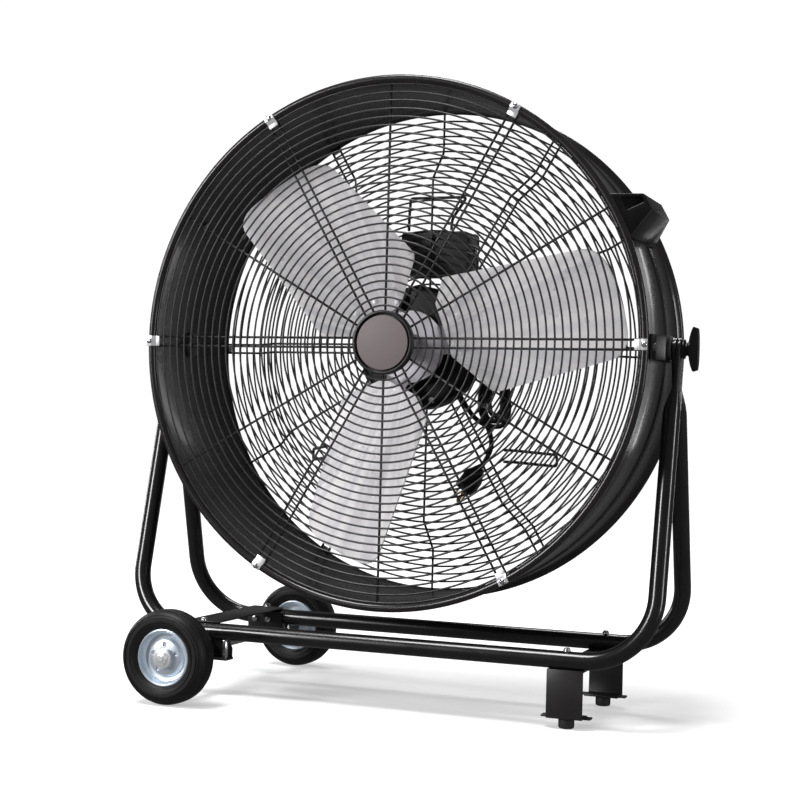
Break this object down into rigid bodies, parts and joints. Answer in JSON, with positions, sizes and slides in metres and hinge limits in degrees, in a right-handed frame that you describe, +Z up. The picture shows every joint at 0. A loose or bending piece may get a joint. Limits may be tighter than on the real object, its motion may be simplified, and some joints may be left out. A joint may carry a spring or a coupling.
{
  "type": "drum fan",
  "caption": "Portable drum fan: round sheet-metal drum with wire grilles and a bladed rotor, tilting in a wheeled tube stand, with carry handles and clamp knobs.",
  "frame": {"origin": "on the floor, straight below the tilt axis", "axes": "+X to the fan's right seen from the front, +Y to the back (the fan blows towards -Y), +Z up"},
  "size_m": [0.7386, 0.408, 0.78],
  "materials": {
    "black_steel": "satin black powder coat",
    "black_wire": "satin black coated wire",
    "blade_metal": "pale silver paint, satin",
    "zinc": "zinc plated",
    "bare_steel": "ground steel",
    "motor_black": "satin black",
    "core_steel": "varnished laminations",
    "black_plastic": "fine texture",
    "grey_plastic": "warm grey, matt",
    "black_rubber": "matt",
    "tyre_rubber": "matt",
    "cord_jacket": "satin",
    "brass_pins": "polished",
    "fibre": "fibre washer"
  },
  "bodies": {
    "stand": {"front_hoop": "black_steel", "rear_hoop": "black_steel", "wheel_end_plate": "black_steel", "foot_channel": "black_steel", "rubber_feet": "black_rubber", "axle_brackets": "black_steel", "axle": "bare_steel", "axle_spacers": "black_plastic", "axle_caps": "zinc", "frame_bolts": "zinc"},
    "drum_head": {"drum_shell": "black_steel", "front_grille": "black_wire", "rear_rim_rings": "black_wire", "rear_centre_rings": "black_wire", "rear_spokes": "black_wire", "cord_hooks": "black_wire", "grille_clips": "zinc", "clip_screws": "zinc", "centre_cap": "black_plastic", "cap_disc": "grey_plastic", "motor_front_shell": "motor_black", "motor_rear_shell": "motor_black", "motor_stator": "core_steel", "motor_bearings": "bare_steel", "motor_screws": "zinc", "motor_mount_plate": "motor_black", "control_box": "black_plastic", "control_box_cover": "black_plastic", "speed_switch": "black_plastic", "run_capacitor": "grey_plastic", "control_box_screws": "zinc", "cord_gland": "black_rubber", "cord_lead": "cord_jacket", "cord_hank": "cord_jacket", "cord_tail": "cord_jacket", "plug_body": "cord_jacket", "plug_pins": "brass_pins", "cord_tie": "black_plastic", "pivot_brackets": "black_steel", "pivot_nuts": "zinc", "friction_washers": "fibre", "inner_pivot_plates": "black_steel", "carry_handle_right": "black_plastic", "carry_handle_left": "black_plastic", "drum_screws": "zinc"},
    "fan_rotor": {"blade_1": "blade_metal", "blade_2": "blade_metal", "blade_3": "blade_metal", "spider_hub": "black_steel", "blade_rivets": "zinc", "motor_shaft": "bare_steel", "hub_nut": "zinc", "rotor_core": "core_steel"},
    "wheel_front": {"wheel_tyre_front": "tyre_rubber", "wheel_rim_front": "zinc"},
    "wheel_rear": {"wheel_tyre_rear": "tyre_rubber", "wheel_rim_rear": "zinc"},
    "tilt_clamp_right": {"tilt_knob_right": "black_plastic"},
    "tilt_clamp_left": {"tilt_knob_left": "black_plastic"},
    "speed_dial": {"speed_knob": "black_plastic"}
  },
  "joints": [
    {"name": "drum_tilt", "type": "hinge", "parent": "stand", "child": "drum_head", "pos_m": [0, 0, 0.45], "axis": [1, 0, 0], "range_deg": [-90, 90]},
    {"name": "fan_spin", "type": "hinge", "parent": "drum_head", "child": "fan_rotor", "pos_m": [0, 0, 0.45], "axis": [0, -1, 0], "continuous": true},
    {"name": "wheel_front_roll", "type": "hinge", "parent": "stand", "child": "wheel_front", "pos_m": [-0.237, -0.185, 0.058], "axis": [0, 1, 0], "continuous": true},
    {"name": "wheel_rear_roll", "type": "hinge", "parent": "stand", "child": "wheel_rear", "pos_m": [-0.237, 0.185, 0.058], "axis": [0, 1, 0], "continuous": true},
    {"name": "tilt_clamp_right_turn", "type": "hinge", "parent": "drum_head", "child": "tilt_clamp_right", "pos_m": [0.357, 0, 0.45], "axis": [1, 0, 0], "range_deg": [0, 360]},
    {"name": "tilt_clamp_left_turn", "type": "hinge", "parent": "drum_head", "child": "tilt_clamp_left", "pos_m": [-0.357, 0, 0.45], "axis": [-1, 0, 0], "range_deg": [0, 360]},
    {"name": "speed_turn", "type": "hinge", "parent": "drum_head", "child": "speed_dial", "pos_m": [0.0025, 0.11, 0.5775], "axis": [0, 1, 0], "range_deg": [0, 180]}
  ]
}
